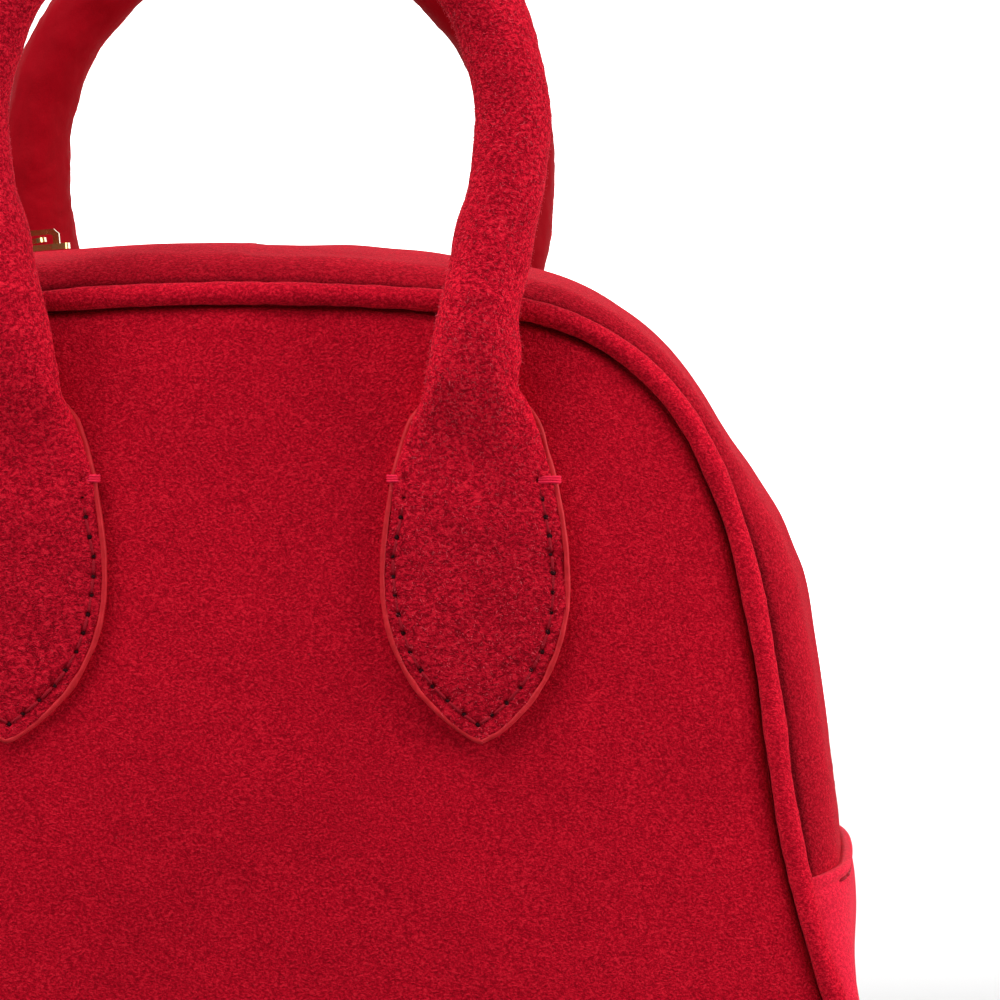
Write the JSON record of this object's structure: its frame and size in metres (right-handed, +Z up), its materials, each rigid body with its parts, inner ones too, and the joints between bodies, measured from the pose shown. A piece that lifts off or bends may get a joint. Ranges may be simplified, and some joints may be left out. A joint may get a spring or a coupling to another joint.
{
  "type": "dome-top handbag",
  "caption": "Soft dome-top handbag in red suede with welted front and back panels, a curved top zip, a wrapped base and two rolled top handles on sewn leaf-shaped tabs.",
  "frame": {"origin": "centre of the underside, on the surface that the bag stands on", "axes": "+Z up, +X along the width to the right as seen from the front, +Y from the front panel to the back panel"},
  "size_m": [0.2662, 0.159, 0.3037],
  "materials": {
    "suede_panel": "red suede, fine short nap",
    "suede_gusset": "red suede, fine short nap",
    "suede_base": "red suede, fine short nap",
    "suede_piping": "red suede over a cord",
    "suede_handle": "red suede, coarser nap",
    "tab_edge_leather": "red painted edge, glossy",
    "smooth_leather": "smooth red leather, satin",
    "patch_leather": "split leather, matt",
    "piping_cord": "twisted cotton cord",
    "handle_core": "cotton rope",
    "lining_cotton": "woven cotton twill",
    "stiffener": "non-woven stiffener sheet",
    "base_board": "matt board",
    "zip_tape": "woven tape",
    "zip_coil": "nylon coil",
    "zip_metal": "polished, light gold",
    "thread": "waxed polyester thread"
  },
  "bodies": {
    "bag": {"back_lining": "lining_cotton", "back_panel": "suede_panel", "back_piping": "suede_piping", "back_piping_cord": "piping_cord", "back_stiffener": "stiffener", "base_board": "base_board", "base_gusset": "suede_base", "base_gusset_topstitch": "thread", "base_lining": "lining_cotton", "front_handle_neck_left": "suede_handle", "front_handle_neck_right": "suede_handle", "front_handle_patches": "patch_leather", "front_handle_tab_left": "suede_handle", "front_handle_tab_right": "suede_handle", "front_lining": "lining_cotton", "front_panel": "suede_panel", "front_piping": "suede_piping", "front_piping_cord": "piping_cord", "front_stiffener": "stiffener", "front_tab_backing_left": "tab_edge_leather", "front_tab_backing_right": "tab_edge_leather", "front_tab_stitching": "thread", "gusset_lining": "lining_cotton", "rear_handle_neck_left": "suede_handle", "rear_handle_neck_right": "suede_handle", "rear_handle_patches": "patch_leather", "rear_handle_tab_left": "suede_handle", "rear_handle_tab_right": "suede_handle", "rear_tab_backing_left": "tab_edge_leather", "rear_tab_backing_right": "tab_edge_leather", "rear_tab_stitching": "thread", "top_gusset_front": "suede_gusset", "top_gusset_rear": "suede_gusset", "zip_coil_front": "zip_coil", "zip_coil_rear": "zip_coil", "zip_tape_front": "zip_tape", "zip_tape_rear": "zip_tape"},
    "front_handle": {"front_handle_wrap": "suede_handle", "front_handle_core": "handle_core"},
    "rear_handle": {"rear_handle_wrap": "suede_handle", "rear_handle_core": "handle_core"},
    "zip_slider": {"zip_slider": "zip_metal"},
    "zip_puller": {"zip_puller": "zip_metal", "zip_pull_tab": "smooth_leather"}
  },
  "joints": [
    {"name": "front_handle_swing", "type": "hinge", "parent": "bag", "child": "front_handle", "pos_m": [0, -0.0715, 0.209], "axis": [1, 0, 0], "range_deg": [-30, 90], "stiffness_Nm_per_rad": 0.15},
    {"name": "rear_handle_swing", "type": "hinge", "parent": "bag", "child": "rear_handle", "pos_m": [0, 0.0715, 0.209], "axis": [-1, 0, 0], "range_deg": [-30, 90], "stiffness_Nm_per_rad": 0.15},
    {"name": "zip_travel", "type": "hinge", "parent": "bag", "child": "zip_slider", "pos_m": [0, 0, -0.3174], "axis": [0, 1, 0], "range_deg": [0, 10.4]},
    {"name": "zip_pull_swing", "type": "hinge", "parent": "zip_slider", "child": "zip_puller", "pos_m": [-0.0486, 0, 0.21664], "axis": [0, 1, 0], "range_deg": [0, 160]}
  ]
}
